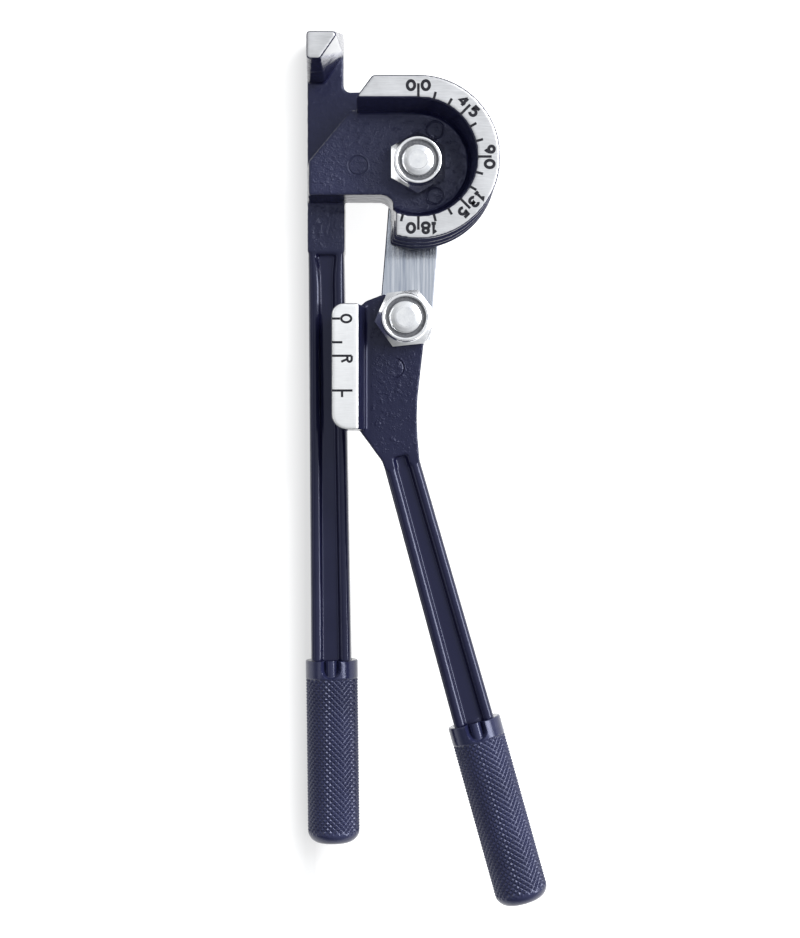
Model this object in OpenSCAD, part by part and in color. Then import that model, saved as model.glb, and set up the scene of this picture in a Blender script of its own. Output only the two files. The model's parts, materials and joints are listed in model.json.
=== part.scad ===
// Hand tube bender for three tube sizes, with a fixed hook and a swinging shoe lever

/* [Tubes] */
// Outside diameter of the largest tube
tube_large = 9.53; // [9:0.01:10]
// Outside diameter of the middle tube
tube_middle = 7.94; // [7.4:0.01:8.5]
// Outside diameter of the smallest tube
tube_small = 6.35; // [5.8:0.01:6.8]
// Room all round a tube in its groove
groove_gap = 0.1; // [0.05:0.01:0.2]
// Share of the tube radius that a groove is sunk below the flanges
groove_sink = 0.08; // [0:0.01:0.2]

/* [Forming wheel] */
// Radius of the forming wheel over its flanges
wheel_r = 25.5; // [25:0.1:26.4]
// Thickness of the flange that carries the dial
dial_flange = 2; // [1.5:0.1:3]
// Thickness of the flanges between two grooves
middle_flange = 1.5; // [1.2:0.1:2]
// Thickness of the flange at the back of the wheel
back_flange = 1.4; // [1.2:0.1:2.4]
// Width of the dial face
dial_w = 7.1; // [6.6:0.1:7.4]
// Depth of the recess inside the dial
recess_depth = 16.2; // [15:0.1:17]
// Lean of the recess wall from face to floor
recess_lean = 2.2; // [1.2:0.1:2.6]
// Radius at the foot of the recess wall
recess_round = 3; // [1.5:0.1:3.6]
// Straight part of the dial before its zero mark
lead_l = 14.2; // [13:0.1:15]
// Run of the slanted end of the straight part
lead_slant = 5.2; // [4.5:0.1:5.6]
// Radius at the outer corner of the straight part
lead_round = 1.8; // [1:0.1:2.4]
// Extra radius of a groove along the straight part
lead_ease = 0.05; // [0.03:0.01:0.1]
// Run of the rim past the half turn
rim_run = 6.9; // [5.5:0.1:8]
// Lean of the end of the rim from face to back
rim_lean = 2; // [0:0.1:2.5]

/* [Hook and web] */
// Distance from the wheel axis to the outer side of the casting
side_x = 35.8; // [35:0.1:37]
// Height of the hook foot above the wheel axis
hook_top = 44.6; // [43:0.1:46]
// Lean of the end of the hook from foot to face
end_lean = 5.6; // [4:0.1:6]
// Width of the hook at its foot
hook_w = 11.7; // [11.2:0.1:12.4]
// Width of the hook nose at its foot
nose_w = 5.3; // [4.8:0.1:6]
// Height of the start of the slanted side above the wheel axis
slant_y = 37.5; // [36.5:0.1:38.5]
// Lean of the hook sides from foot to face
hook_lean = 1; // [0.6:0.1:1.6]
// Radius of the upright edges of the hook
hook_round = 1; // [0.6:0.1:1.4]
// Room between the hook nose and a seated tube
nose_gap = 0.1; // [0.05:0.05:0.5]
// Radius in the corner beside the hook
notch_r = 2.2; // [1.5:0.1:3]
// Height of the floor beside the hook above the wheel axis
notch_y = 25.5; // [24.5:0.1:26]
// Height of the lower edge of the web below the wheel axis
web_low = 9.7; // [9:0.1:11]
// Radius of the turn from the web edge down to the rim end
web_turn = 4.4; // [3:0.1:5]
// Drop of the turn from the web edge down to the rim end
turn_drop = 8; // [7:0.1:8.2]
// Run from the slanted end of the dial to the corner of the web
web_step = 2; // [1.4:0.1:2.6]
// Reach of the foot under the web
foot_lap = 2; // [1.5:0.1:3]
// Slant of the web edge beside the tube channel, in degrees
channel_slant = 50.5; // [48:0.5:54]
// Lean of the web sides
web_lean = 1; // [0.6:0.1:1.4]

/* [Main handle] */
// Thickness of the main handle
handle_t = 14.5; // [13:0.1:14.8]
// Length of the wide neck below the wheel axis
neck_l = 26.2; // [25:0.1:30]
// Length of the plain beam between the neck and its channel
neck_plain = 0.8; // [0.6:0.1:2]
// Width of the neck
neck_w = 12.1; // [11.8:0.1:12.6]
// Width of the beam below the neck
beam_w = 11.6; // [11:0.1:12]
// Width of the beam at its grip
beam_end_w = 13; // [12.6:0.1:13.8]
// Distance from the wheel axis to the grip
handle_l = 159.5; // [150:0.5:175]
// Lean of the handle toward the lever, in degrees
handle_lean = 0.7; // [0:0.1:1]

/* [Beams and grips] */
// Width of the two ribs of a beam at their crest
rib_w = 3.2; // [2.8:0.1:3.4]
// Lean of the wall between a rib and its channel
rib_lean = 1.2; // [0.8:0.1:1.4]
// Depth of the channel in a beam
channel_depth = 1.6; // [1.2:0.1:2.6]
// Length of the plain beam between its channel and its grip
plain_l = 1.5; // [1.2:0.1:4]
// Radius of a grip
grip_r = 8.55; // [8:0.05:8.7]
// Length of a grip
grip_l = 60; // [56:0.1:68]
// Radius of the rounded end of a grip
grip_round = 4.5; // [3:0.1:6]
// Radius of the tang inside a grip
tang_r = 5.6; // [5:0.1:6]
// Length of the tang inside a grip
tang_l = 52; // [40:0.5:54]
// Room round the tang
tang_gap = 0.05; // [0.02:0.01:0.1]

/* [Link] */
// Distance between the two pivots
link_l = 49.7; // [49:0.1:51.5]
// Width of the link
link_w = 17; // [15.5:0.1:17.6]
// Thickness of the link
link_t = 6; // [5:0.1:7]
// Turn of the link past the half turn at rest, in degrees
link_turn = 4.6; // [0:0.1:6]

/* [Shoe lever] */
// Gap between shoe and wheel flanges in the working position
shoe_gap = 1.2; // [1:0.1:1.6]
// Width of the plate face of the shoe
plate_w = 8.4; // [7.6:0.1:9]
// Lean of the wall beside the plate face
plate_lean = 2.1; // [1.4:0.1:2.6]
// Length of the shoe above its pivot
shoe_up = 4.1; // [3:0.1:5]
// Length of the shoe below its pivot
shoe_down = 35.2; // [33:0.1:37]
// Corner radius at the upper end of the shoe
shoe_r_up = 3.7; // [2.5:0.1:4.2]
// Corner radius at the lower end of the shoe
shoe_r_down = 4.8; // [3:0.1:5.4]
// Radius of the lever round its pivot
boss_r = 8.3; // [7.6:0.1:9]
// Rise of the shoulder above the shoe
shoulder_up = 1.7; // [1:0.1:2.4]
// Distance of the shoulder corner from the pivot, across the lever
corner_out = 6.5; // [6:0.1:7]
// Distance of the shoulder corner above the pivot
corner_up = 8.1; // [7.6:0.1:8.6]
// Distance of the flank from the pivot, across the lever
flank_out = 5.9; // [5.4:0.1:6.4]
// Distance of the flank below the pivot
flank_down = 7.1; // [6.6:0.1:7.6]
// Length of the waist above the beam
waist_l = 20.1; // [18:0.1:22]
// Depth of the waist above the beam
waist_in = 0.9; // [0:0.1:1.4]
// Run of the corner between shoe and beam
crotch_run = 0.8; // [0.4:0.1:1.2]
// Rise of the corner between shoe and beam
crotch_up = 2.5; // [1.8:0.1:3]
// Distance from the pivot down to the start of the lever beam
beam_start = 46.1; // [44:0.1:48]
// Distance from the pivot down to the lever grip
beam_stop = 128; // [115:0.5:140]
// Offset of the beam start from the pivot
beam_offset = 1; // [0.5:0.1:2]
// Angle between the lever beam and the shoe, in degrees
beam_angle = 15.6; // [13:0.1:18]
// Width of the lever beam at its start
lever_w = 11.5; // [11:0.1:12.4]
// Width of the lever beam at its grip
lever_end_w = 13; // [12.6:0.1:13.6]
// Distance from the pivot down to the channel of the lever beam
channel_start = 43; // [42:0.1:45]
// Thickness of the lever beam
lever_t = 13.4; // [12:0.1:14]
// Room between parts that pass over each other
pass_gap = 0.5; // [0.4:0.1:1]

/* [Bolts] */
// Radius of the pivot bolts
bolt_r = 5; // [4.5:0.05:5.2]
// Width across flats of heads and nuts
hex_w = 17; // [16.5:0.1:18]
// Height of a bolt head
head_h = 6.4; // [6.2:0.1:7]
// Height of a lock nut
nut_h = 10; // [9:0.1:11]
// Height of the six-sided part of a lock nut
nut_hex_h = 5.4; // [5:0.1:6.4]
// Radius of the round collar of a lock nut
collar_r = 7.6; // [7.3:0.1:8]
// Turn of the nut on the shoe pivot, in degrees
nut_turn = 6; // [0:1:59]
// Room round a nut beside a raised wall
nut_room = 1.2; // [0.6:0.1:2]
// Radius of the lock ring
ring_r = 6.5; // [6.3:0.05:6.7]
// Height of the lock ring
ring_h = 2.3; // [1.8:0.1:2.6]
// Length of a bolt past its nut
bolt_end = 0.6; // [0.2:0.1:1.5]
// Bevel at the end of a bolt
bolt_bevel = 1.2; // [0.6:0.1:1.6]
// Radius of the washers
washer_r = 9; // [8.8:0.1:9.4]
// Thickness of the washers under the bolt heads
head_washer_t = 2; // [1.5:0.1:2.4]
// Thickness of the washer between link and wheel
wheel_washer_t = 1; // [0.8:0.1:1.4]
// Thickness of the washer between link and shoe
shoe_washer_t = 2; // [1.9:0.1:2.6]
// Radial room of a pivot on its bolt
pivot_gap = 0.05; // [0.02:0.01:0.1]
// Radial room of a clamped part on its bolt
clamp_gap = 0.03; // [0.02:0.01:0.1]
// Radial room of a washer on its bolt
washer_gap = 0.25; // [0.1:0.05:0.5]
// End play of a pivot
end_play = 0.1; // [0.05:0.01:0.2]

/* [Hidden] */
$fn = 96;
over = 1;
over_turn = 2;
arc_n = 6;
skin = 0.01;
hex_corner = hex_w / sqrt(3);
half_hex = 30;
nut_lip = (nut_h - nut_hex_h - ring_h) / 4;
// Heights of the stack, from the bench upward
link_low = head_h + head_washer_t + end_play;
link_high = link_low + link_t;
wheel_back = link_high + end_play + wheel_washer_t;
large_h = tube_large + 2 * groove_gap;
middle_h = tube_middle + 2 * groove_gap;
small_h = tube_small + 2 * groove_gap;
small_z = wheel_back + back_flange + small_h / 2;
middle_z = small_z + small_h / 2 + middle_flange + middle_h / 2;
large_z = middle_z + middle_h / 2 + middle_flange + large_h / 2;
dial_z = large_z + large_h / 2 + dial_flange;
web_z = dial_z - recess_depth;
shoe_back = link_high + shoe_washer_t + end_play;
handle_high = shoe_back - pass_gap;
handle_low = handle_high - handle_t;
handle_mid = handle_low + handle_t / 2;
lever_mid = handle_mid + 2 * grip_r + pass_gap;
lever_high = lever_mid + lever_t / 2;
lever_low = lever_mid - lever_t / 2;
// Tube seats as height, tube diameter and radius of the bend
seats = [
    [small_z, tube_small, bend_r(tube_small)],
    [middle_z, tube_middle, bend_r(tube_middle)],
    [large_z, tube_large, bend_r(tube_large)]
];
// Pivot of the shoe, seen from the wheel axis
shoe_x = -link_l * sin(link_turn);
shoe_y = -link_l * cos(link_turn);
face_x = wheel_r + shoe_gap - link_l;
plate_x = face_x + plate_w;
wall_x = plate_x + plate_lean;
recess_r = wheel_r - dial_w;
floor_r = recess_r - recess_lean;
lead_x = -lead_l - lead_slant;
hook_x = hook_w - side_x;
beam_top = [-side_x + neck_w / 2, -neck_l];
grip_beam_l = handle_l - neck_l;
lever_l = (beam_stop - beam_start) / cos(beam_angle);
rim_past = asin((rim_run + rim_lean) / wheel_r) + over_turn;

// Bend radius of a tube seated in the wheel
function bend_r(tube) = wheel_r - groove_sink * tube / 2;
// Lowest height of the hook nose that clears a seated tube
function nose_y(tube) = bend_r(tube) + tube / 2 + nose_gap;
// Height of the hook nose at a height above the bench, through the outer two tubes
function nose_at(z) = nose_y(tube_small)
    + (nose_y(tube_large) - nose_y(tube_small)) * (z - small_z) / (large_z - small_z);
// Point on the lever beam, across it and along it, seen from the pivot of the shoe
function on_beam(x, l) = [-beam_offset, -beam_start]
    + x * [cos(beam_angle), sin(beam_angle)] + l * [sin(beam_angle), -cos(beam_angle)];
// Direction of a vector
function unit(v) = v / norm(v);
// Points that round the corner b between a and c
function rounded(a, b, c, r) =
    let(
        u = unit(a - b),
        v = unit(c - b),
        half = acos(u * v) / 2,
        centre = b + unit(u + v) * r / sin(half),
        from = b + u * r / tan(half) - centre,
        to = b + v * r / tan(half) - centre
    )
    [for (i = [0:arc_n]) centre + r * unit((arc_n - i) * from + i * to)];
// Outline with all its corners rounded
function round_all(points, r) =
    let(n = len(points))
    [for (i = [0:n - 1]) each rounded(points[(i + n - 1) % n], points[i], points[(i + 1) % n], r)];
// Plan of a channel that leaves a rib on both sides of a beam
function channel_plan(start_w, end_w, from, to, rib) = [
    [rib - start_w / 2, -from],
    [start_w / 2 - rib, -from],
    [end_w / 2 - rib, -to],
    [rib - end_w / 2, -to]
];

// Upright prism between two heights
module prism(points, low, high) {
    translate([0, 0, low])
        linear_extrude(high - low)
            polygon(points);
}

// Prism along X whose section is given as Y and Z
module bar_x(section, from, to) {
    translate([from, 0, 0])
        rotate([90, 0, 90])
            linear_extrude(to - from)
                polygon(section);
}

// Prism along Y whose section is given as X and Z
module bar_y(section, from, to) {
    translate([0, to, 0])
        rotate([90, 0, 0])
            linear_extrude(to - from)
                polygon(section);
}

// Round tang along minus Y past the end of a beam
module tang(l, mid) {
    root = 2 * plain_l;
    translate([0, root - l, mid])
        rotate([90, 0, 0])
            cylinder(r = tang_r, h = root + tang_l);
}

// Channel between the ribs in the upper face of a beam
module beam_channel(start_w, end_w, from, to, half_t) {
    floor_z = half_t - channel_depth;
    hull() {
        prism(channel_plan(start_w, end_w, from, to, rib_w + rib_lean), floor_z, floor_z + skin);
        prism(channel_plan(start_w, end_w, from, to, rib_w), half_t, half_t + over);
    }
}

// Sleeve along minus Y with a closed round end
module grip() {
    bore_l = tang_l + tang_gap;
    rotate([90, 0, 0])
        rotate_extrude()
            polygon(concat(
                [[0, bore_l], [tang_r + tang_gap, bore_l], [tang_r + tang_gap, 0], [grip_r, 0]],
                rounded([grip_r, 0], [grip_r, grip_l], [0, grip_l], grip_round),
                [[0, grip_l]]
            ));
}

// Grooves of the wheel, round the arc and along the straight part
module wheel_grooves() {
    for (seat = seats) {
        seat_r = seat[1] / 2 + groove_gap;
        lead_r = seat_r + lead_ease;
        lead_run = over * 3 / 2 - lead_x;
        translate([0, 0, seat[0]]) {
            rotate([0, 0, -90 - rim_past])
                rotate_extrude(angle = 180 + rim_past) {
                    translate([seat[2], 0])
                        circle(r = seat_r);
                    translate([seat[2], -seat_r])
                        square([wheel_r - seat[2] + over, 2 * seat_r]);
                }
            translate([lead_x - over, seat[2], 0])
                rotate([0, 90, 0])
                    cylinder(r = lead_r, h = lead_run);
            translate([lead_x - over, seat[2], -lead_r])
                cube([lead_run, wheel_r - seat[2] + over, 2 * lead_r]);
        }
    }
}

// Wheel with its straight part, before the recess is cut
module wheel_blank() {
    intersection() {
        translate([0, 0, wheel_back])
            cylinder(r = wheel_r, h = dial_z - wheel_back);
        bar_y([[-rim_run - rim_lean, wheel_back], [-rim_run, dial_z], [wheel_r + over, dial_z],
            [wheel_r + over, wheel_back]], -wheel_r - over, wheel_r + over);
    }
    prism(concat(
        [[0, 0], [0, wheel_r]],
        rounded([0, wheel_r], [-lead_l, wheel_r], [lead_x, recess_r], lead_round),
        [[lead_x, recess_r], [lead_x, 0]]
    ), wheel_back, dial_z);
}

// Recess inside the dial
module recess() {
    high = dial_z + over;
    section = concat(
        [[0, web_z]],
        rounded([0, web_z], [floor_r, web_z], [recess_r, dial_z], recess_round),
        [[recess_r, dial_z], [recess_r, high], [0, high]]
    );
    rotate([0, 0, 180])
        rotate_extrude(angle = 270)
            polygon(section);
    bar_x(section, -side_x, 0);
}

// Web between wheel, hook and handle
module web() {
    left = -side_x + web_lean;
    top_y = floor_r + web_lean;
    corner_x = lead_x - web_step;
    edge_y = top_y - (corner_x - left) * tan(channel_slant);
    turn = [-rim_run - rim_lean / 2, -web_low];
    rim_end = turn + [rim_lean / 2, -turn_drop];
    below = rim_end + over * unit(rim_end - turn);
    opening = concat(
        [[left - over, -web_low]],
        rounded([left, -web_low], turn, rim_end, web_turn),
        [below, [left - over, below[1]]]
    );
    difference() {
        prism([[0, top_y], [corner_x, top_y], [left, edge_y], [left, rim_end[1]], [0, rim_end[1]]],
            wheel_back, web_z);
        hull() {
            prism(opening, web_z, web_z + over);
            translate([-web_lean, -web_lean])
                prism(opening, wheel_back - over, wheel_back);
        }
    }
    bar_y([[left, web_z], [-side_x, handle_high], [-side_x, wheel_back], [left, wheel_back]],
        -web_low - web_lean, edge_y);
}

// Thick foot under the hook, the web and the neck
module foot() {
    inner_x = lead_x + foot_lap;
    inner_y = foot_lap - web_low;
    neck_x = neck_w - side_x;
    prism(concat(
        [[-side_x, -neck_l], [-side_x, hook_top], [hook_x, hook_top]],
        rounded([hook_x, hook_top], [hook_x, notch_y], [inner_x, notch_y], notch_r),
        [[inner_x, notch_y], [inner_x, inner_y], [neck_x, inner_y], [neck_x, -neck_l]]
    ), handle_low, handle_high);
}

// Hook with its slanted bare side
module hook() {
    foot_y = nose_at(handle_high);
    face_y = nose_at(dial_z);
    face_top = hook_top - end_lean;
    foot_outline = [[-side_x, hook_top], [hook_x, hook_top], [hook_x, slant_y],
        [nose_w - side_x, foot_y], [-side_x, foot_y]];
    face_outline = [[hook_lean - side_x, face_top], [hook_x - hook_lean / 2, face_top],
        [nose_w - side_x, face_y], [hook_lean - side_x, face_y]];
    hull() {
        prism(round_all(foot_outline, hook_round), handle_high - over, handle_high);
        prism(round_all(face_outline, hook_round), dial_z - skin, dial_z);
    }
}

// Beam of the main handle, placed below the neck
module place_handle() {
    translate(beam_top)
        rotate([0, 0, handle_lean])
            children();
}

// Beam of the lever, placed below the pivot of the shoe
module place_lever() {
    translate([shoe_x - beam_offset, shoe_y - beam_start])
        rotate([0, 0, beam_angle])
            children();
}

// Casting with wheel, hook, web, neck and beam
module forming_handle() {
    color("#2c2d42")
        difference() {
            union() {
                difference() {
                    union() {
                        wheel_blank();
                        web();
                    }
                    recess();
                    wheel_grooves();
                }
                foot();
                hook();
                place_handle() {
                    prism([[-beam_w / 2, over], [-beam_end_w / 2, -grip_beam_l],
                        [beam_end_w / 2, -grip_beam_l], [beam_w / 2, over]], handle_low, handle_high);
                    tang(grip_beam_l, handle_mid);
                }
            }
            place_handle()
                translate([0, 0, handle_mid])
                    for (side = [0, 1])
                        mirror([0, 0, side])
                            beam_channel(beam_w, beam_end_w, neck_plain, grip_beam_l - plain_l, handle_t / 2);
            translate([0, 0, wheel_back - over])
                cylinder(r = bolt_r + clamp_gap, h = web_z - wheel_back + 2 * over);
        }
}

// Sleeve on the main handle
module main_grip() {
    color("#3d3f58")
        place_handle()
            translate([0, -grip_beam_l, handle_mid])
                grip();
}

// Plan of the shoe with its two round corners, seen from its pivot
module shoe_plan(right) {
    difference() {
        translate([face_x, -shoe_down])
            square([right - face_x, shoe_up + shoe_down]);
        difference() {
            translate([face_x - over, shoe_up - shoe_r_up])
                square([shoe_r_up + over, shoe_r_up + over]);
            translate([face_x + shoe_r_up, shoe_up - shoe_r_up])
                circle(r = shoe_r_up);
        }
        difference() {
            translate([face_x - over, -shoe_down - over])
                square([shoe_r_down + over, shoe_r_down + over]);
            translate([face_x + shoe_r_down, shoe_r_down - shoe_down])
                circle(r = shoe_r_down);
        }
    }
}

// Grooved shoe, seen from its pivot
module shoe() {
    sunk_x = wall_x + plate_lean * over / (dial_z - lever_high);
    difference() {
        intersection() {
            translate([0, 0, shoe_back])
                linear_extrude(dial_z - shoe_back)
                    shoe_plan(sunk_x + over);
            bar_y([[face_x, shoe_back], [sunk_x, shoe_back], [sunk_x, lever_high - over], [plate_x, dial_z],
                [face_x, dial_z]], -shoe_down - over, shoe_up + over);
        }
        for (seat = seats)
            translate([seat[2] - link_l, shoe_up + over, seat[0]])
                rotate([90, 0, 0])
                    cylinder(r = seat[1] / 2 + groove_gap, h = shoe_up + shoe_down + 2 * over);
        translate([0, 0, lever_high])
            cylinder(r = hex_corner + nut_room, h = dial_z - lever_high + over);
    }
}

// Flat body of the lever with its beam, seen from the pivot
module lever_body() {
    right = on_beam(lever_w / 2, 0);
    left = on_beam(-lever_w / 2, 0);
    steps = 3;
    waist = [
        for (i = [steps:-1:0]) right + [-waist_in * sin(180 * i / (steps + 1)), waist_l * i / steps]
    ];
    outer = concat([
        [plate_x - over, shoe_up - over],
        [wall_x, shoe_up + shoulder_up],
        [-corner_out, corner_up],
        [0, 0],
        [flank_out, -flank_down]
    ], waist);
    inner = [
        left,
        left + [-crotch_run, crotch_up],
        [plate_x, -shoe_down],
        [plate_x - over, over - shoe_down]
    ];
    grip_end = [on_beam(lever_end_w / 2, lever_l), on_beam(-lever_end_w / 2, lever_l)];
    prism(concat(outer, inner), shoe_back, lever_mid);
    prism(concat(outer, grip_end, inner), lever_low, lever_high);
    translate([0, 0, shoe_back])
        cylinder(r = boss_r, h = lever_high - shoe_back);
}

// Casting with shoe, pivot and beam
module shoe_lever() {
    color("#2c2d42")
        difference() {
            union() {
                translate([shoe_x, shoe_y, 0]) {
                    shoe();
                    lever_body();
                }
                place_lever()
                    tang(lever_l, lever_mid);
            }
            place_lever()
                translate([0, 0, lever_mid]) {
                    beam_channel(lever_w, lever_end_w, channel_start - beam_start, lever_l - plain_l,
                        lever_t / 2);
                    mirror([0, 0, 1])
                        beam_channel(lever_w, lever_end_w, plain_l, lever_l - plain_l, lever_t / 2);
                }
            translate([shoe_x, shoe_y, shoe_back - over])
                cylinder(r = bolt_r + pivot_gap, h = lever_high - shoe_back + 2 * over);
        }
}

// Sleeve on the lever
module lever_grip() {
    color("#3d3f58")
        place_lever()
            translate([0, -lever_l, lever_mid])
                grip();
}

// Bar behind the wheel that carries the shoe
module link_bar() {
    color("#c8c8cc")
        translate([0, 0, link_low])
            rotate([0, 0, -link_turn])
                linear_extrude(link_t)
                    difference() {
                        union() {
                            circle(d = link_w);
                            translate([0, -link_l])
                                circle(d = link_w);
                            translate([-link_w / 2, -link_l])
                                square([link_w, link_l]);
                        }
                        circle(r = bolt_r + pivot_gap);
                        translate([0, -link_l])
                            circle(r = bolt_r + clamp_gap);
                    }
}

// Hex bolt with its head down
module bolt(head_z, top_z) {
    translate([0, 0, head_z])
        rotate([0, 0, half_hex])
            cylinder(r = hex_corner, h = head_h, $fn = 6);
    translate([0, 0, head_z + head_h / 2])
        cylinder(r = bolt_r, h = top_z - bolt_bevel - head_z - head_h / 2);
    translate([0, 0, top_z - bolt_bevel])
        cylinder(r1 = bolt_r, r2 = bolt_r - bolt_bevel, h = bolt_bevel);
}

// Lock nut standing on its hex
module nut(low, turn) {
    translate([0, 0, low])
        difference() {
            union() {
                rotate([0, 0, turn])
                    cylinder(r = hex_corner, h = nut_hex_h, $fn = 6);
                cylinder(r = collar_r, h = nut_h - nut_lip);
                translate([0, 0, nut_h - nut_lip])
                    cylinder(r1 = collar_r, r2 = collar_r - nut_lip, h = nut_lip);
            }
            translate([0, 0, -over])
                cylinder(r = bolt_r + clamp_gap, h = nut_h + 2 * over);
            translate([0, 0, nut_h - nut_lip - ring_h])
                cylinder(r = ring_r + clamp_gap, h = ring_h + nut_lip + over);
        }
}

// Lock ring seated in a nut
module lock_ring(low) {
    translate([0, 0, low + nut_h - nut_lip - ring_h])
        difference() {
            cylinder(r = ring_r, h = ring_h);
            translate([0, 0, -over])
                cylinder(r = bolt_r + clamp_gap, h = ring_h + 2 * over);
        }
}

// Plain washer
module washer(low, t) {
    translate([0, 0, low])
        difference() {
            cylinder(r = washer_r, h = t);
            translate([0, 0, -over])
                cylinder(r = bolt_r + washer_gap, h = t + 2 * over);
        }
}

// Parts on the wheel pivot
module wheel_bolt() {
    color("#d8d8dc")
        bolt(0, web_z + nut_h + bolt_end);
}

module wheel_head_washer() {
    color("#cfcfd4")
        washer(head_h, head_washer_t);
}

module wheel_thrust_washer() {
    color("#cfcfd4")
        washer(link_high + end_play, wheel_washer_t);
}

module wheel_nut() {
    color("#d8d8dc")
        nut(web_z, half_hex);
}

module wheel_lock_ring() {
    color("#8d8f99")
        lock_ring(web_z);
}

// Parts on the shoe pivot
module shoe_bolt() {
    color("#d8d8dc")
        translate([shoe_x, shoe_y, 0])
            bolt(end_play, lever_high + end_play + nut_h + bolt_end);
}

module shoe_head_washer() {
    color("#cfcfd4")
        translate([shoe_x, shoe_y, 0])
            washer(link_low - head_washer_t, head_washer_t);
}

module shoe_thrust_washer() {
    color("#cfcfd4")
        translate([shoe_x, shoe_y, 0])
            washer(link_high, shoe_washer_t);
}

module shoe_nut() {
    color("#d8d8dc")
        translate([shoe_x, shoe_y, 0])
            nut(lever_high + end_play, nut_turn);
}

module shoe_lock_ring() {
    color("#8d8f99")
        translate([shoe_x, shoe_y, 0])
            lock_ring(lever_high + end_play);
}

forming_handle();
main_grip();
wheel_bolt();
wheel_head_washer();
wheel_thrust_washer();
wheel_nut();
wheel_lock_ring();
link_bar();
shoe_bolt();
shoe_head_washer();
shoe_thrust_washer();
shoe_nut();
shoe_lock_ring();
shoe_lever();
lever_grip();
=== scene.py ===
"""Hand tube bender: the looks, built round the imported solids. Lengths are in mm until a mesh is made."""

import json
import math

import bmesh
import bpy
import numpy as np
from mathutils import Matrix, Vector, noise

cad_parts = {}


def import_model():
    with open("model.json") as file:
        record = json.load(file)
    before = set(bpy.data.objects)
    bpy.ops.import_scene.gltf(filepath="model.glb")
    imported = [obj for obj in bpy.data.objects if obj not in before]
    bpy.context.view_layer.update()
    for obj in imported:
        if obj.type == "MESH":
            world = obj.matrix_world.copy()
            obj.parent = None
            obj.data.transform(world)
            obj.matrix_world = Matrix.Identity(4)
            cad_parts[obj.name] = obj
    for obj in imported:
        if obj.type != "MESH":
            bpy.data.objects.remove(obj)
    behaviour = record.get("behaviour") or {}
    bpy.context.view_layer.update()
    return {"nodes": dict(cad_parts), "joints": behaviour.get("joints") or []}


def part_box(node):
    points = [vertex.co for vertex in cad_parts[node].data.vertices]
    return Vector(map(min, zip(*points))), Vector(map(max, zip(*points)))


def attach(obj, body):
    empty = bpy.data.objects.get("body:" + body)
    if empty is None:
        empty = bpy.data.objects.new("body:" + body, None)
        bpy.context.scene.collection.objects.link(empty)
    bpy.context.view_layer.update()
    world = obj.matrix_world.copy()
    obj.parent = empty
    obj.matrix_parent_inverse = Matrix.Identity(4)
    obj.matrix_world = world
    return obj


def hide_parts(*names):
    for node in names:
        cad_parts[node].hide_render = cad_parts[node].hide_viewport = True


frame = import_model()

MM = 0.001
TURN = 2 * math.pi

# Sizes shared with the solids
WHEEL_R = 25.5
DIAL_W = 7.1
RECESS_R = WHEEL_R - DIAL_W
SIDE_X = 35.8
NECK_W = 12.1
BOLT_R = 5.0
HEX_FLAT = 8.5
HEAD_H = 6.4
NUT_H = 10.0
NUT_HEX_H = 5.4
COLLAR_R = 7.6
RING_R = 6.5
RING_H = 2.3
NUT_LIP = (NUT_H - NUT_HEX_H - RING_H) / 4
FIT = 0.03
WASHER_R = 9.0
WASHER_BORE = 5.25
LINK_L = 49.7
LINK_W = 17.0
LINK_TURN = 4.6
GRIP_R = 8.55
GRIP_L = 60.0
GRIP_ROUND = 4.5
GRIP_BORE = 5.65
TANG_R = 5.6
RIB_W = 3.2
CHANNEL_DEPTH = 1.6
NECK_L = 26.2
NECK_PLAIN = 0.8
HANDLE_LEAN = 0.7
HANDLE_STOP = 159.5
HANDLE_L = HANDLE_STOP - NECK_L
HANDLE_W = (11.6, 13.0)
BEAM_ANGLE = 15.6
BEAM_START = 46.1
BEAM_STOP = 128.0
BEAM_OFFSET = 1.0
CHANNEL_START = 43.0
LEVER_L = (BEAM_STOP - BEAM_START) / math.cos(math.radians(BEAM_ANGLE))
LEVER_W = (11.5, 13.0)
LEVER_T = 13.4
LEVER_CHANNEL = CHANNEL_START - BEAM_START


def low(node, axis):
    """Lowest coordinate of a solid, in mm."""
    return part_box(node)[0][axis] / MM


def high(node, axis):
    """Highest coordinate of a solid, in mm."""
    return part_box(node)[1][axis] / MM


DIAL_Z = high("forming_handle", 2)
WEB_Z = low("wheel_nut", 2)
HANDLE_LOW = low("forming_handle", 2)
HANDLE_MID = (low("main_grip", 2) + high("main_grip", 2)) / 2
HANDLE_HIGH = 2 * HANDLE_MID - HANDLE_LOW
LEVER_MID = (low("lever_grip", 2) + high("lever_grip", 2)) / 2
LEVER_HALF = LEVER_T / 2
LEVER_HIGH = LEVER_MID + LEVER_HALF
PLATE_X = low("shoe_lever", 0)
SHOE_X, SHOE_Y = [c / MM for c in frame["joints"][1]["pos_m"][:2]]
WHEEL_AXIS = (0.0, 0.0)
SHOE_AXIS = (SHOE_X, SHOE_Y)
HANDLE_TOP = (NECK_W / 2 - SIDE_X, -NECK_L)
LEVER_TOP = (SHOE_X - BEAM_OFFSET, SHOE_Y - BEAM_START)


# Materials


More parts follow.
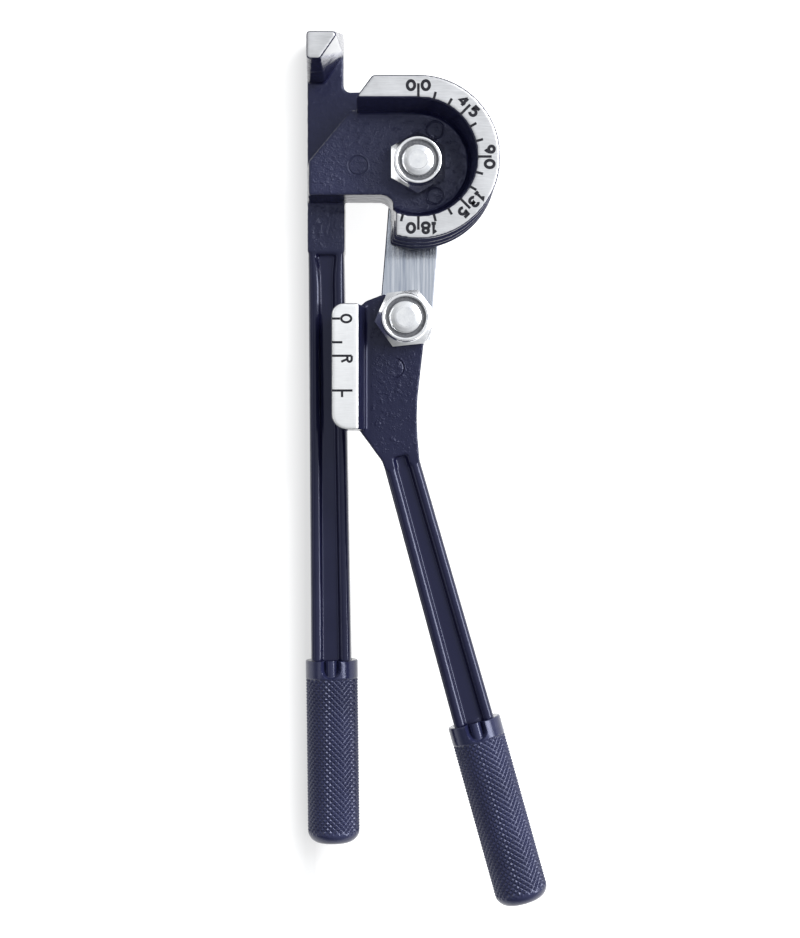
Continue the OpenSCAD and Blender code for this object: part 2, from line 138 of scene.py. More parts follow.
class Graph:
    """Short calls for a material's nodes."""

    def __init__(self, name):
        self.material = bpy.data.materials.new(name)
        self.material.use_nodes = True
        self.tree = self.material.node_tree
        self.shader = self.tree.nodes["Principled BSDF"]
        places = self.add("ShaderNodeTexCoord").outputs
        self.coords, self.normal = places["Object"], places["Normal"]

    def add(self, kind, links=(), **settings):
        node = self.tree.nodes.new(kind)
        for key, value in settings.items():
            setattr(node, key, value)
        for socket, value in dict(links).items():
            self.put(node.inputs[socket], value)
        return node

    def put(self, socket, value):
        if isinstance(value, bpy.types.NodeSocket):
            self.tree.links.new(value, socket)
        else:
            socket.default_value = value

    def set(self, **values):
        """Shader inputs, with underscores for spaces."""
        for key, value in values.items():
            self.put(self.shader.inputs[key.replace("_", " ")], value)

    def noise(self, scale, detail=4.0, rough=0.55, coords=None):
        links = {"Vector": coords or self.coords, "Scale": scale, "Detail": detail, "Roughness": rough}
        return self.add("ShaderNodeTexNoise", links).outputs["Fac"]

    def math(self, operation, a, b=0.0):
        return self.add("ShaderNodeMath", {0: a, 1: b}, operation=operation).outputs[0]

    def span(self, value, low, high, to_low=0.0, to_high=1.0):
        """value from low to high, mapped and clamped."""
        links = {"Value": value, "From Min": low, "From Max": high, "To Min": to_low, "To Max": to_high}
        return self.add("ShaderNodeMapRange", links).outputs["Result"]

    def vary(self, value, low=0.0, high=1.0):
        """The usual spread of a noise, mapped from low to high."""
        return self.span(value, 0.3, 0.7, low, high)

    def mix(self, factor, a, b):
        """Mixed colour."""
        return self.add("ShaderNodeMix", {0: factor, 6: a, 7: b}, data_type="RGBA").outputs[2]

    def blend(self, factor, a, b):
        """Mixed number."""
        return self.add("ShaderNodeMix", {0: factor, 2: a, 3: b}, data_type="FLOAT").outputs[0]

    def stretch(self, scale, turn=0.0):
        links = {"Vector": self.coords, "Scale": scale, "Rotation": (0, 0, math.radians(turn))}
        return self.add("ShaderNodeMapping", links).outputs["Vector"]

    def axis(self, name):
        return self.add("ShaderNodeSeparateXYZ", {0: self.coords}).outputs[name]

    def facing(self, direction):
        """How far a surface faces a direction."""
        links = {0: self.normal, 1: direction}
        return self.add("ShaderNodeVectorMath", links, operation="DOT_PRODUCT").outputs["Value"]

    def attribute(self, name):
        return self.add("ShaderNodeAttribute", attribute_name=name).outputs["Fac"]

    def bump(self, height, distance):
        return self.add("ShaderNodeBump", {"Height": height, "Distance": distance * MM}).outputs["Normal"]


WHITE = (1, 1, 1, 1)
NAVY = (0.0055, 0.0058, 0.024, 1)
NAVY_SHEEN = (0.72, 0.76, 1, 1)
HOOK_METAL = (0.6, 0.605, 0.62, 1)
HOOK_SIDE = (0.823, -0.567, 0.035)
HOOK_WEAR = (-30.5, -24.1)
HOOK_RIGHT = -22.0


def casting_material(name, bare_color, dull, sand_color, edge):
    """Navy paint over a sand casting, bare on the worn hook and within edge of the ground faces."""
    g = Graph(name)
    patches = g.noise(70, 2)
    smear = g.noise(90, 3)
    fine = g.noise(1700, 4, 0.6)
    coarse = g.noise(620, 3)
    ground = g.span(g.axis("Z"), (DIAL_Z - edge) * MM, (DIAL_Z - edge * 0.6) * MM)
    rise = g.span(g.axis("Z"), HANDLE_HIGH * MM, DIAL_Z * MM)
    worn = g.math("ADD", rise, g.span(g.axis("X"), HOOK_WEAR[0] * MM, HOOK_WEAR[1] * MM))
    worn = g.math("ADD", worn, g.vary(smear, -0.06, 0.06))
    hook_part = g.span(g.axis("X"), HOOK_RIGHT * MM, (HOOK_RIGHT - 0.5) * MM)
    on_hook = g.math("MULTIPLY", g.span(worn, 0.9, 1.15), hook_part)
    side = g.math("MULTIPLY", g.span(g.facing(HOOK_SIDE), 0.93, 0.965), on_hook)
    bare = g.math("MAXIMUM", ground, side)
    sand = g.attribute("sand")
    depth = g.math("ADD", g.span(sand, 0.0, 0.45, 0.0, 0.8), g.span(patches, 0.35, 0.65, 0.0, 0.2))
    paint = g.mix(depth, NAVY, [*sand_color, 1])
    lines = g.noise(1, 6, 0.7, g.stretch((260, 5200, 900), 14))
    tone = g.math("ADD", g.vary(lines, -0.08, 0.08), g.vary(smear, 0.92, 1.05))
    metal = g.mix(g.span(tone, 0.86, 1.1), [c * dull for c in bare_color] + [1], [*bare_color, 1])
    metal = g.mix(side, metal, HOOK_METAL)
    grain = g.math("ADD", g.span(coarse, 0.52, 0.72, 0.0, 0.4), g.math("MULTIPLY", fine, 0.4))
    grain = g.math("MULTIPLY", grain, sand)
    g.set(
        Base_Color=g.mix(bare, paint, metal),
        Metallic=bare,
        Specular_IOR_Level=0.41,
        Specular_Tint=g.mix(bare, NAVY_SHEEN, WHITE),
        Roughness=g.blend(bare, g.vary(fine, 0.12, 0.2), g.vary(lines, 0.28, 0.4)),
        Normal=g.bump(g.blend(bare, grain, g.math("MULTIPLY", lines, 0.02)), 0.42),
    )
    return g.material


def grip_material():
    g = Graph("grip_navy")
    fine = g.noise(2600, 4)
    patches = g.noise(60, 3)
    color = g.mix(g.vary(patches), (0.0125, 0.0142, 0.042, 1), (0.019, 0.0213, 0.06, 1))
    g.set(
        Base_Color=color,
        Specular_Tint=NAVY_SHEEN,
        Roughness=g.vary(fine, 0.12, 0.2),
        Normal=g.bump(fine, 0.03),
    )
    return g.material


def zinc_material():
    g = Graph("bright_zinc")
    smear = g.noise(420, 4)
    fine = g.noise(2400, 4)
    color = g.mix(g.vary(smear), (0.83, 0.84, 0.87, 1), (0.98, 0.985, 0.99, 1))
    g.set(
        Base_Color=color,
        Metallic=1.0,
        Roughness=g.vary(fine, 0.1, 0.2),
        Normal=g.bump(fine, 0.02),
    )
    return g.material


def link_material():
    """Steel brushed along the bar, with broad streaks."""
    g = Graph("brushed_link")
    lines = g.noise(1, 5, 0.65, g.stretch((5200, 130, 600), -LINK_TURN))
    wide = g.noise(1, 3, 0.5, g.stretch((900, 40, 100), -LINK_TURN))
    color = g.mix(g.span(wide, 0.32, 0.68), (0.36, 0.4, 0.48, 1), (0.7, 0.73, 0.79, 1))
    g.set(
        Base_Color=color,
        Metallic=1.0,
        Roughness=g.vary(lines, 0.06, 0.16),
        Normal=g.bump(lines, 0.05),
    )
    return g.material


def ring_material():
    g = Graph("lock_ring_nylon")
    fine = g.noise(1500, 3)
    color = g.mix(g.vary(fine), (0.075, 0.078, 0.088, 1), (0.12, 0.123, 0.135, 1))
    g.set(Base_Color=color, Roughness=g.vary(fine, 0.22, 0.34), Normal=g.bump(fine, 0.02))
    return g.material


def mark_material():
    g = Graph("mark_black")
    fine = g.noise(2200, 4)
    color = g.mix(g.span(fine, 0.35, 0.65), (0.006, 0.006, 0.01, 1), (0.016, 0.016, 0.022, 1))
    g.set(
        Base_Color=color,
        Specular_IOR_Level=0.2,
        Roughness=g.vary(fine, 0.5, 0.7),
        Normal=g.bump(fine, 0.02),
    )
    return g.material


FRAME_PAINT = casting_material("frame_casting", (0.72, 0.725, 0.745), 0.68, (0.0165, 0.018, 0.046), 0.1)
LEVER_PAINT = casting_material("lever_casting", (0.97, 0.975, 0.985), 0.84, (0.0078, 0.0085, 0.028), 0.25)
GRIP = grip_material()
ZINC = zinc_material()
LINK = link_material()
NYLON = ring_material()
INK = mark_material()


# Meshes


def place(obj, body, slot, *nodes):
    """Puts a piece on its body and hides the solids it stands for. The slot is not used."""
    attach(obj, body)
    if nodes:
        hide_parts(*nodes)


def stand(name, mesh, material, sharp=None):
    """A smooth-shaded object in the scene, with its sharp edges marked by angle."""
    mesh.polygons.foreach_set("use_smooth", [True] * len(mesh.polygons))
    if sharp:
        mesh.set_sharp_from_angle(angle=math.radians(sharp))
    mesh.materials.append(material)
    obj = bpy.data.objects.new(name, mesh)
    bpy.context.scene.collection.objects.link(obj)
    return obj


def add_skin(build, points, faces):
    verts = [build.verts.new(p) for p in (np.asarray(points, float) * MM).tolist()]
    for face in faces:
        build.faces.new([verts[i] for i in face])


def finish(build, name):
    """Mesh of a built shape, with its faces turned outward."""
    bmesh.ops.recalc_face_normals(build, faces=build.faces)
    mesh = bpy.data.meshes.new(name)
    build.to_mesh(mesh)
    build.free()
    return mesh


def make(name, points, faces, material, sharp=None):
    build = bmesh.new()
    add_skin(build, points, faces)
    return stand(name, finish(build, name), material, sharp)


def loft(rings, close=False, caps=(True, True)):
    """Points and faces of a skin over rings of equally many points."""
    rings = np.asarray(rings, float)
    count, n = rings.shape[:2]
    faces = []
    for i in range(count if close else count - 1):
        a, b = i * n, (i + 1) % count * n
        faces += [(a + j, a + (j + 1) % n, b + (j + 1) % n, b + j) for j in range(n)]
    if not close and caps[0]:
        faces.append(range(n))
    if not close and caps[1]:
        faces.append(range((count - 1) * n, count * n))
    return rings.reshape(-1, 3), faces


def step(x, start, end):
    """0 before start, 1 after end, smooth between."""
    t = np.clip((x - start) / (end - start), 0, 1)
    return t * t * (3 - 2 * t)


def circle(steps):
    return np.arange(steps) / steps * TURN


def ring(center, angles, radius, z):
    """Points round an upright axis; radius and z are numbers or one per angle."""
    return np.stack([
        center[0] + radius * np.cos(angles),
        center[1] + radius * np.sin(angles),
        np.broadcast_to(z, angles.shape),
    ], 1)


def bow(r, z, size, start, end, steps):
    """Radius and height pairs on an arc about (r, z)."""
    turns = np.radians(np.linspace(start, end, steps + 1))
    return [(r + size * math.cos(a), z + size * math.sin(a)) for a in turns]


def lathe(name, center, profile, material, sharp=35):
    """Closed profile turned round an upright axis."""
    points, faces = loft([ring(center, circle(96), r, z) for r, z in profile], close=True)
    return make(name, points, faces, material, sharp)


def laid(points, start, turn, mid):
    """Points of a piece along minus Y, turned and moved to its place."""
    c, d = math.cos(math.radians(turn)), math.sin(math.radians(turn))
    x, y, z = points.T
    return np.stack([start[0] + c * x - d * y, start[1] + d * x + c * y, mid + z], 1)


# Fasteners and link


def hexagon(angles, corner):
    """Radius of a hexagon with a corner at that angle, in degrees."""
    sixth = TURN / 6
    return HEX_FLAT / np.cos((angles - math.radians(corner)) % sixth - sixth / 2)


SLOPE = math.tan(math.radians(30))


def lock_nut(name, center, base, corner):
    """Hex nut with a chamfer up to its collar and a rolled lip over the lock ring."""
    angles = circle(120)
    hex_r = hexagon(angles, corner)
    low_r, top_r = 8.25, COLLAR_R + 0.12
    bore, seat = BOLT_R + FIT, RING_R + FIT
    lip_r, lip_w, lip_h = 6.95, 0.6, 0.5
    shelf = NUT_H - NUT_LIP
    rings = [
        (bore + 0.5, 0),
        (low_r, 0),
        (hex_r, (hex_r - low_r) * SLOPE),
        (hex_r, NUT_HEX_H - (hex_r - top_r) * SLOPE),
        (top_r, NUT_HEX_H),
        (COLLAR_R, NUT_HEX_H + 0.25),
        (COLLAR_R, NUT_H - lip_h - 0.15),
    ]
    rings += [(lip_r + lip_w * c, NUT_H - lip_h + lip_h * s) for c, s in bow(0, 0, 1, 0, 180, 12)]
    rings += [(seat, shelf + 0.03), (seat, shelf - RING_H), (bore, shelf - RING_H), (bore, 0.5)]
    points, faces = loft([ring(center, angles, r, base + z) for r, z in rings], close=True)
    return make(name, points, faces, ZINC, 28)


def lock_ring(name, center, base):
    """Ring with a hollow top."""
    top = base + NUT_H - NUT_LIP
    bore = BOLT_R + FIT
    profile = [(bore, top - RING_H), (RING_R, top - RING_H)]
    profile += bow((bore + RING_R) / 2, top + 0.5, 0.9, -35, -145, 8)
    return lathe(name, center, profile, NYLON)


def bolt(name, center, base, top):
    """Hex bolt with its head down, a thread at its upper end and a bevel round its flat tip."""
    angles = circle(120)
    hex_r = hexagon(angles, 30)
    low_r = 8.1
    pitch, depth, length = 1.5, 0.8, 12.0
    bevel, tip_r, tip_h = 0.8, 3.0, 0.1
    stop = top - bevel - tip_h
    rings = [
        (low_r, base),
        (hex_r, base + (hex_r - low_r) * SLOPE),
        (hex_r, base + HEAD_H - 0.15),
        (hex_r - 0.15, base + HEAD_H),
        (BOLT_R, base + HEAD_H),
        (BOLT_R, top - length),
    ]
    for z in np.arange(top - length, top - tip_h, pitch / 10):
        phase = (z / pitch - angles / TURN) % 1.0
        tooth = np.clip(1.15 - 2.5 * np.abs(phase - 0.5), 0, 1)
        fade = np.clip(min(z - top + length, stop - z) / pitch, 0, 1)
        thread_r = BOLT_R - depth * fade * tooth
        cone_r = BOLT_R - max(0.0, z - top + bevel) * (BOLT_R - tip_r) / bevel
        rings.append((np.minimum(thread_r, cone_r), z))
    rings += [(tip_r, top - tip_h), (tip_r - 0.06, top), (tip_r * 0.6, top)]
    points, faces = loft([ring(center, angles, r, z) for r, z in rings])
    return make(name, points, faces, ZINC, 38)


def washer(name, center, base, top):
    edge = 0.18
    inner, outer = WASHER_BORE, WASHER_R
    profile = [
        (inner, base + edge), (inner + edge, base), (outer - edge, base), (outer, base + edge),
        (outer, top - edge), (outer - edge, top), (inner + edge, top), (inner, top - edge),
    ]
    return lathe(name, center, profile, ZINC, 30)


def link_bar(name, base, top):
    """Bar with round ends, two bores and broken edges."""
    edge, bore = 0.35, BOLT_R + 0.05
    turn = Matrix.Rotation(math.radians(-LINK_TURN), 2)

    def outline(inset):
        r = LINK_W / 2 - inset
        ends = [(math.cos(a), math.sin(a)) for a in np.linspace(0, math.pi, 33)]
        return [(r * c, r * s) for c, s in ends] + [(-r * c, -LINK_L - r * s) for c, s in ends]

    def hole(y):
        def rim(inset):
            r = bore + inset
            return [(r * math.cos(a), y + r * math.sin(a)) for a in circle(64)]

        return rim

    build = bmesh.new()
    flats = ([], [])
    for shape in (outline, hole(0), hole(-LINK_L)):
        rows = []
        for inset, z in ((edge, base), (0, base + edge), (0, top - edge), (edge, top)):
            row = [turn @ Vector(p) for p in shape(inset)]
            rows.append([build.verts.new((x * MM, y * MM, z * MM)) for x, y in row])
        n = len(rows[0])
        for below, above in zip(rows, rows[1:]):
            for j in range(n):
                build.faces.new((below[j], below[(j + 1) % n], above[(j + 1) % n], above[j]))
        for flat, row in zip(flats, (rows[0], rows[-1])):
            flat += [build.edges.get((row[j], row[(j + 1) % n])) for j in range(n)]
    for flat in flats:
        bmesh.ops.triangle_fill(build, use_beauty=True, edges=flat)
    return stand(name, finish(build, name), LINK, 30)


# Grips

KNURL_STARTS = 28
KNURL_STEPS = 8
KNURL_PITCH = TURN * GRIP_R / KNURL_STARTS
KNURL_DEPTH = 0.6
KNURL_IN = 0.6
KNURL_OUT = 1.4
KNURL_END = 3.0
COLLAR_L = 5.7
NOTCH_HALF = 3.0
NOTCH_L = 5.6
NOTCH_TOP = 7.7
NOTCH_ROUND = 5.0
NOTCH_EDGE = 0.35


def wave(phase):
    """0 in a groove, 1 midway between two grooves."""
    return 1 - np.abs(2 * (phase % 1.0) - 1)


def grip_rows():
    """Radius and distance from the collar's end for each ring of a grip."""
    stop = GRIP_L - GRIP_ROUND
    bore_l, bevel = 4.0, 0.3
    round_r, spacing = 0.5, 0.25
    rows = [(GRIP_BORE, bore_l), (GRIP_BORE, bevel), (GRIP_BORE + bevel, 0.0)]
    rows += [(r, round_r + z) for r, z in bow(GRIP_R - round_r, 0, round_r, -90, 0, 3)]
    rows += [(GRIP_R, s) for s in np.arange(round_r + spacing, COLLAR_L, spacing)]
    rows += [(GRIP_R, s) for s in np.arange(COLLAR_L, stop - 0.1, KNURL_PITCH / KNURL_STEPS)]
    rows += [(r, stop + z) for r, z in bow(GRIP_R - GRIP_ROUND, 0, GRIP_ROUND, 0, 86, 24)]
    return rows + [(0.7 * (GRIP_R - GRIP_ROUND), GRIP_L)]


def grip(name, start, turn, mid):
    """Sleeve with a smooth notched collar, a diamond knurl and a closed round end."""
    angles = circle(KNURL_STARTS * KNURL_STEPS)
    around = angles / TURN * KNURL_STARTS
    across = GRIP_R * np.cos(angles)
    rings = []
    for r, s in grip_rows():
        along = (s - COLLAR_L) / KNURL_PITCH
        peak = np.minimum(wave(around + along), wave(around - along))
        start_fade = np.clip((s - COLLAR_L) / KNURL_IN, 0, 1)
        end_fade = np.clip((GRIP_L - KNURL_END - s) / KNURL_OUT, 0, 1)
        skin = r - KNURL_DEPTH * start_fade * end_fade * (1 - np.minimum(peak * 1.04, 1))
        reach = np.hypot(across, max(0.0, s - NOTCH_L + NOTCH_HALF))
        notch = np.clip((NOTCH_HALF - reach) / NOTCH_EDGE + 0.5, 0, 1)
        sunk = np.minimum(skin, NOTCH_TOP - across ** 2 / NOTCH_ROUND)
        skin = skin + (notch * (sunk - skin) if r > GRIP_BORE + 0.5 else 0)
        rings.append(np.stack([skin * np.cos(angles), np.full(len(angles), -s), skin * np.sin(angles)], 1))
    points, faces = loft(rings, caps=(False, True))
    return make(name, laid(points, start, turn, mid), faces, GRIP, 50)


# Castings

RIGHT_ANGLE = np.linspace(0, math.pi / 2, 9)
CREST_T = 2.0
CREST_ARCS = ((1.5, 0, 25), (7.6, 25, 32))
WALL_TURN = math.radians(72)
FOOT_R = 0.5
VOXEL = 0.36
GRAIN_SIZE = 2.2
SKIN_H = 0.06
LEAST_SAND = 0.04
BEAM_OVER = 0.2
TANG_IN = 1
TANG_OUT = 12
BACK_CHANNEL = 4.0
LEVER_RING = ((-7.6, -65.0), 3.0)
LEVER_SWEEP = (250, 450)
WEB_RINGS = (((-19.16, -0.44), 3.0), ((5.44, 10.85), 2.7), ((5.34, -10.14), 2.55))
NECK_LOW = -27.0
SHOE_LOW = -86.0


def rib_section(half_w, half_h, depth, share):
    """Channel floor, steep wall, round rib and side of a beam, from its middle to its right side."""
    crest = [(CREST_T, 0.0)]
    for radius, start, end in CREST_ARCS:
        t, drop = crest[-1]
        first = math.radians(start)
        for a in np.radians(np.linspace(start, end, 6))[1:]:
            run, fall = math.sin(a) - math.sin(first), math.cos(first) - math.cos(a)
            crest.append((t + radius * run, drop + radius * fall))
    wall_t, wall_drop = crest[-1]
    foot_drop = CHANNEL_DEPTH - FOOT_R * (1 - math.cos(WALL_TURN))
    foot_t = wall_t + (foot_drop - wall_drop) / math.tan(WALL_TURN) + FOOT_R * math.sin(WALL_TURN)
    foot = [
        (foot_t - FOOT_R * math.sin(a), CHANNEL_DEPTH - FOOT_R * (1 - math.cos(a)))
        for a in np.linspace(0, WALL_TURN, 6)
    ]
    points = [(0.0, half_h - depth)]
    points += [(half_w - t * share, half_h - drop * depth / CHANNEL_DEPTH) for t, drop in foot + crest[::-1]]
    edge = CREST_T * share
    points += [
        (half_w - edge + edge * math.sin(a), half_h - edge + edge * math.cos(a)) for a in RIGHT_ANGLE[1:]
    ]
    return points


def beam(widths, half_h, length, start, channels, flare=0.0):
    """Closed skin of a beam along minus Y, with channels above and below that flare where they start."""
    fine_l, flare_l = 8, (-4, 11)
    least_depth, ramp_l = 0.015, 0.7
    rings = []
    for s in [*np.arange(start, fine_l, 0.3), *np.linspace(fine_l, length, 40)]:
        half_w = (widths[0] + (widths[1] - widths[0]) * max(s, 0) / length) / 2
        depths = [CHANNEL_DEPTH * min(1.0, max(least_depth, (s - begin) / ramp_l)) for begin in channels]
        share = 1 - flare * (1 - step(s, *flare_l)) / RIB_W
        above, below = [rib_section(half_w, half_h, depth, share) for depth in depths]
        right = above + [(x, -z) for x, z in reversed(below)]
        left = [(-x, z) for x, z in reversed(right[1:-1])]
        rings.append([(x, -s, z) for x, z in right + left])
    return loft(rings)


def tang(length):
    """Closed skin of the tang, from inside the beam into the grip."""
    angles = circle(64)
    across, up = TANG_R * np.cos(angles), TANG_R * np.sin(angles)
    ends = (length - TANG_IN, length + TANG_OUT)
    return loft([np.stack([across, np.full(len(angles), -s), up], 1) for s in ends])


def remesh(node, name, top, turn, mid, beam_skin, length):
    """The head of a solid joined with a finer beam, as one even mesh that can be rounded."""
    build = bmesh.new()
    build.from_mesh(frame["nodes"][node].data)
    bmesh.ops.remove_doubles(build, verts=build.verts, dist=1e-7)
    cut = laid(np.array([[0, -NECK_PLAIN / 2, 0], [0, -1.0, 0]]), top, turn, mid)
    bmesh.ops.bisect_plane(
        build, geom=[*build.verts, *build.edges, *build.faces], dist=1e-7,
        plane_co=cut[0] * MM, plane_no=cut[1] - cut[0], clear_outer=True,
    )
    bmesh.ops.holes_fill(build, edges=[e for e in build.edges if e.is_boundary], sides=0)
    for points, faces in (beam_skin, tang(length)):
        add_skin(build, laid(points, top, turn, mid), faces)
    rough = bpy.data.objects.new(name, finish(build, name))
    bpy.context.scene.collection.objects.link(rough)
    modifier = rough.modifiers.new("even", "REMESH")
    modifier.mode = "VOXEL"
    modifier.voxel_size = VOXEL * MM
    mesh = bpy.data.meshes.new_from_object(rough.evaluated_get(bpy.context.evaluated_depsgraph_get()))
    bpy.data.objects.remove(rough)
    mesh.materials.clear()
    return mesh


def points_of(mesh):
    flat = np.empty(len(mesh.vertices) * 3)
    mesh.vertices.foreach_get("co", flat)
    return flat.reshape(-1, 3) / MM


def normals_of(mesh):
    flat = np.empty(len(mesh.vertices) * 3, np.float32)
    mesh.vertex_normals.foreach_get("vector", flat)
    return flat.reshape(-1, 3).astype(float)


def put_points(mesh, points):
    mesh.vertices.foreach_set("co", (points * MM).ravel())
    mesh.update()


def soften(mesh, rounds):
    """Rounds edges: each point moves toward its neighbours' mean as many times as rounds says for it."""
    edges = np.empty(len(mesh.edges) * 2, int)
    mesh.edges.foreach_get("vertices", edges)
    a, b = edges.reshape(-1, 2).T
    n = len(mesh.vertices)
    degree = np.maximum(np.bincount(a, minlength=n) + np.bincount(b, minlength=n), 1)
    points = points_of(mesh)
    for k in range(int(math.ceil(rounds.max()))):
        weight = 0.5 * np.clip(rounds - k, 0, 1)
        mean = np.stack([
            (np.bincount(a, points[b, i], n) + np.bincount(b, points[a, i], n)) / degree for i in range(3)
        ], 1)
        points += weight[:, None] * (mean - points)
    put_points(mesh, points)


def roughen(mesh, amount, size):
    """Moves points along their normals by a soft noise; amount is one number per point."""
    points, normals = points_of(mesh), normals_of(mesh)
    shift = np.array([noise.fractal(Vector(p / size), 0.8, 2.0, 3) for p in points])
    put_points(mesh, points + normals * (amount * shift)[:, None])


def flow_marks(mesh):
    """Cold-flow ridges down the neck."""
    points, normals = points_of(mesh), normals_of(mesh)
    x, y, z = points.T
    middle, height = HANDLE_TOP[0] - 0.6, 0.26
    low_end, top_end = (-23.5, -20), (10.8, 11.6)
    spread = 0.15 * (y + 23)
    room = step(y, *low_end) * step(-y, *top_end) * step(normals[:, 2], 0.8, 0.95)
    room = room * (1 - step(np.abs(x - middle), 2.2 + spread, 4.2 + spread))
    chosen = np.flatnonzero((room > 0) & (np.abs(z - HANDLE_HIGH) < 0.6))
    for i in chosen:
        bend = noise.noise(Vector((0.35 * y[i], 0.25 * x[i], 4.0)))
        ridge = noise.noise(Vector((0.62 * x[i] + 1.4 * bend, 0.2 * y[i], 1.5)))
        points[i, 2] += height * room[i] * (0.5 - min(1.0, 3.2 * abs(ridge)))
    put_points(mesh, points)


def mark_ring(mesh, center, radius, z, sweep=(0, 360)):
    """Round mark of a moulding pin, sunk into a flat over a sweep in degrees."""
    band, level, fade_turn = 0.9, 0.8, 25
    groove, groove_w = 0.24, 0.24
    lip, lip_w, lip_out = 0.1, 0.22, 0.42
    spot = Vector((*center, z)) * MM
    reach = sweep[1] - sweep[0]
    build = bmesh.new()
    build.from_mesh(mesh)

    def away(p):
        return math.hypot(p.x - spot.x, p.y - spot.y) / MM - radius

    def near(p):
        return abs(away(p)) < band and abs(p.z - spot.z) < level * MM

    faces = [f for f in build.faces if near(f.calc_center_median())]
    edges = list(dict.fromkeys(e for f in faces for e in f.edges))
    bmesh.ops.subdivide_edges(build, edges=edges, cuts=2, use_grid_fill=True)
    for v in build.verts:
        if near(v.co):
            heading = (math.degrees(math.atan2(v.co.y - spot.y, v.co.x - spot.x)) - sweep[0]) % 360
            fade = step(heading, 0, fade_turn) * step(reach - heading, 0, fade_turn) if reach < 360 else 1.0
            d = away(v.co)
            rise = lip * math.exp(-((d - lip_out) / lip_w) ** 2)
            v.co.z += fade * MM * (rise - groove * math.exp(-(d / groove_w) ** 2))
    build.to_mesh(mesh)
    build.free()


def put_sand(mesh, sand):
    """How strongly the sand grain shows, per point."""
    layer = mesh.attributes.new("sand", "FLOAT", "POINT")
    layer.data.foreach_set("value", sand(points_of(mesh)).astype(np.float32))


def at_level(z, level):
    """1 within 0.5 of a level, fading to 0 at 0.9."""
    return step(0.9 - np.abs(z - level), 0, 0.4)


def on_web(p):
    """1 on the recessed web inside the dial."""
    x, y, z = p.T
    web_low = (-20, -19.5)
    return at_level(z, WEB_Z) * step(y, *web_low)


def frame_rounds(p):
    """Broad rounding on neck, foot and web, less on hook and wheel, least on ground faces and beam."""
    x, y, z = p.T
    inner_r, rim_z = RECESS_R - 3, 15
    hook_y, hook_z = 28, 17
    rim = (np.hypot(x, y) > inner_r) & (x > HOOK_RIGHT) & (y > NECK_LOW) & (z > rim_z)
    straight = (x < 0) & (x > HOOK_RIGHT) & (y > inner_r) & (z > rim_z)
    rounds = np.where(y < NECK_LOW - 0.5, 2.0, 6.0)
    rounds = np.where((y > hook_y) & (x < HOOK_RIGHT) & (z > hook_z), 4.0, rounds)
    rounds = np.where(rim | straight, 3.0, rounds)
    return np.where(z > DIAL_Z - 1, 2.0, rounds)


def frame_amount(p):
    """Height of the cast skin: half on the web, little on wheel and beam, none on the ground faces."""
    x, y, z = p.T
    rim_x, rim_z = -20, 15.8
    bare = step(z, DIAL_Z - 1.2, DIAL_Z - 0.6)
    wheel = (np.hypot(x, y) > RECESS_R + 1) & (x > rim_x) & (y > NECK_LOW) & (z > rim_z)
    return SKIN_H * (1 - bare) * np.where(wheel, 0.2, np.where(y < NECK_LOW, 0.25, 1.0 - 0.5 * on_web(p)))


def frame_sand(p):
    """Sand grain on web, neck and foot."""
    x, y, z = p.T
    neck_x, neck_top = -20, (9.5, 11)
    foot_x, foot_low = -12, (-9, -7)
    neck = step(y, NECK_LOW, NECK_LOW + 2) * step(-y, *neck_top) * at_level(z, HANDLE_HIGH) * (x < neck_x)
    foot = step(y, *foot_low) * at_level(z, HANDLE_HIGH) * (x < foot_x)
    return np.maximum(LEAST_SAND, np.maximum(on_web(p), np.maximum(0.7 * neck, 0.3 * foot)))


def lever_rounds(p):
    """Broad rounding round the pivot, less on the shoe, least on the beam."""
    x, y, z = p.T
    shoe_x = -17
    shoe = (x < shoe_x) & (y > SHOE_LOW)
    beam_part = y < SHOE_Y - BEAM_START - 2
    return np.where(shoe, 3.0, np.where(beam_part, 2.0, 7.0))


def lever_amount(p):
    """Height of the cast skin: most round the pivot, little on shoe and beam."""
    x, y, z = p.T
    shoe_x, beam_y = -14.5, -97
    return SKIN_H * np.where((x < shoe_x) & (y > SHOE_LOW), 0.15, np.where(y < beam_y, 0.25, 0.8))


def lever_sand(p):
    """Sand grain on the flat below the pivot."""
    x, y, z = p.T
    flat_low, flat_left = (-96, -90), (-15.5, -14)
    flat = at_level(z, LEVER_HIGH) * step(y, *flat_low) * step(x, *flat_left)
    return np.maximum(LEAST_SAND, 0.7 * flat)


def forming_casting():
    """Wheel, hook and neck of the frame with the beam of the main handle."""
    channels = (NECK_PLAIN, NECK_PLAIN)
    skin = beam(HANDLE_W, HANDLE_MID - HANDLE_LOW, HANDLE_L + BEAM_OVER, -2.0, channels, 1.0)
    body = remesh("forming_handle", "forming_casting", HANDLE_TOP, HANDLE_LEAN, HANDLE_MID, skin, HANDLE_L)
    soften(body, frame_rounds(points_of(body)))
    roughen(body, frame_amount(points_of(body)), GRAIN_SIZE)
    flow_marks(body)
    for center, radius in WEB_RINGS:
        mark_ring(body, center, radius, WEB_Z)
    put_sand(body, frame_sand)
    place(stand("forming_casting", body, FRAME_PAINT), "frame", "casting", "forming_handle")


def lever_casting():
    """Shoe and pivot of the lever with its beam."""
    channels = (LEVER_CHANNEL, BACK_CHANNEL)
    skin = beam(LEVER_W, LEVER_HALF, LEVER_L + BEAM_OVER, -5.0, channels)
    body = remesh("shoe_lever", "lever_casting", LEVER_TOP, BEAM_ANGLE, LEVER_MID, skin, LEVER_L)
    soften(body, lever_rounds(points_of(body)))
    roughen(body, lever_amount(points_of(body)), GRAIN_SIZE)
    center, radius = LEVER_RING
    mark_ring(body, center, radius, LEVER_HIGH, LEVER_SWEEP)
    put_sand(body, lever_sand)
    place(stand("lever_casting", body, LEVER_PAINT), "lever", "casting", "shoe_lever")


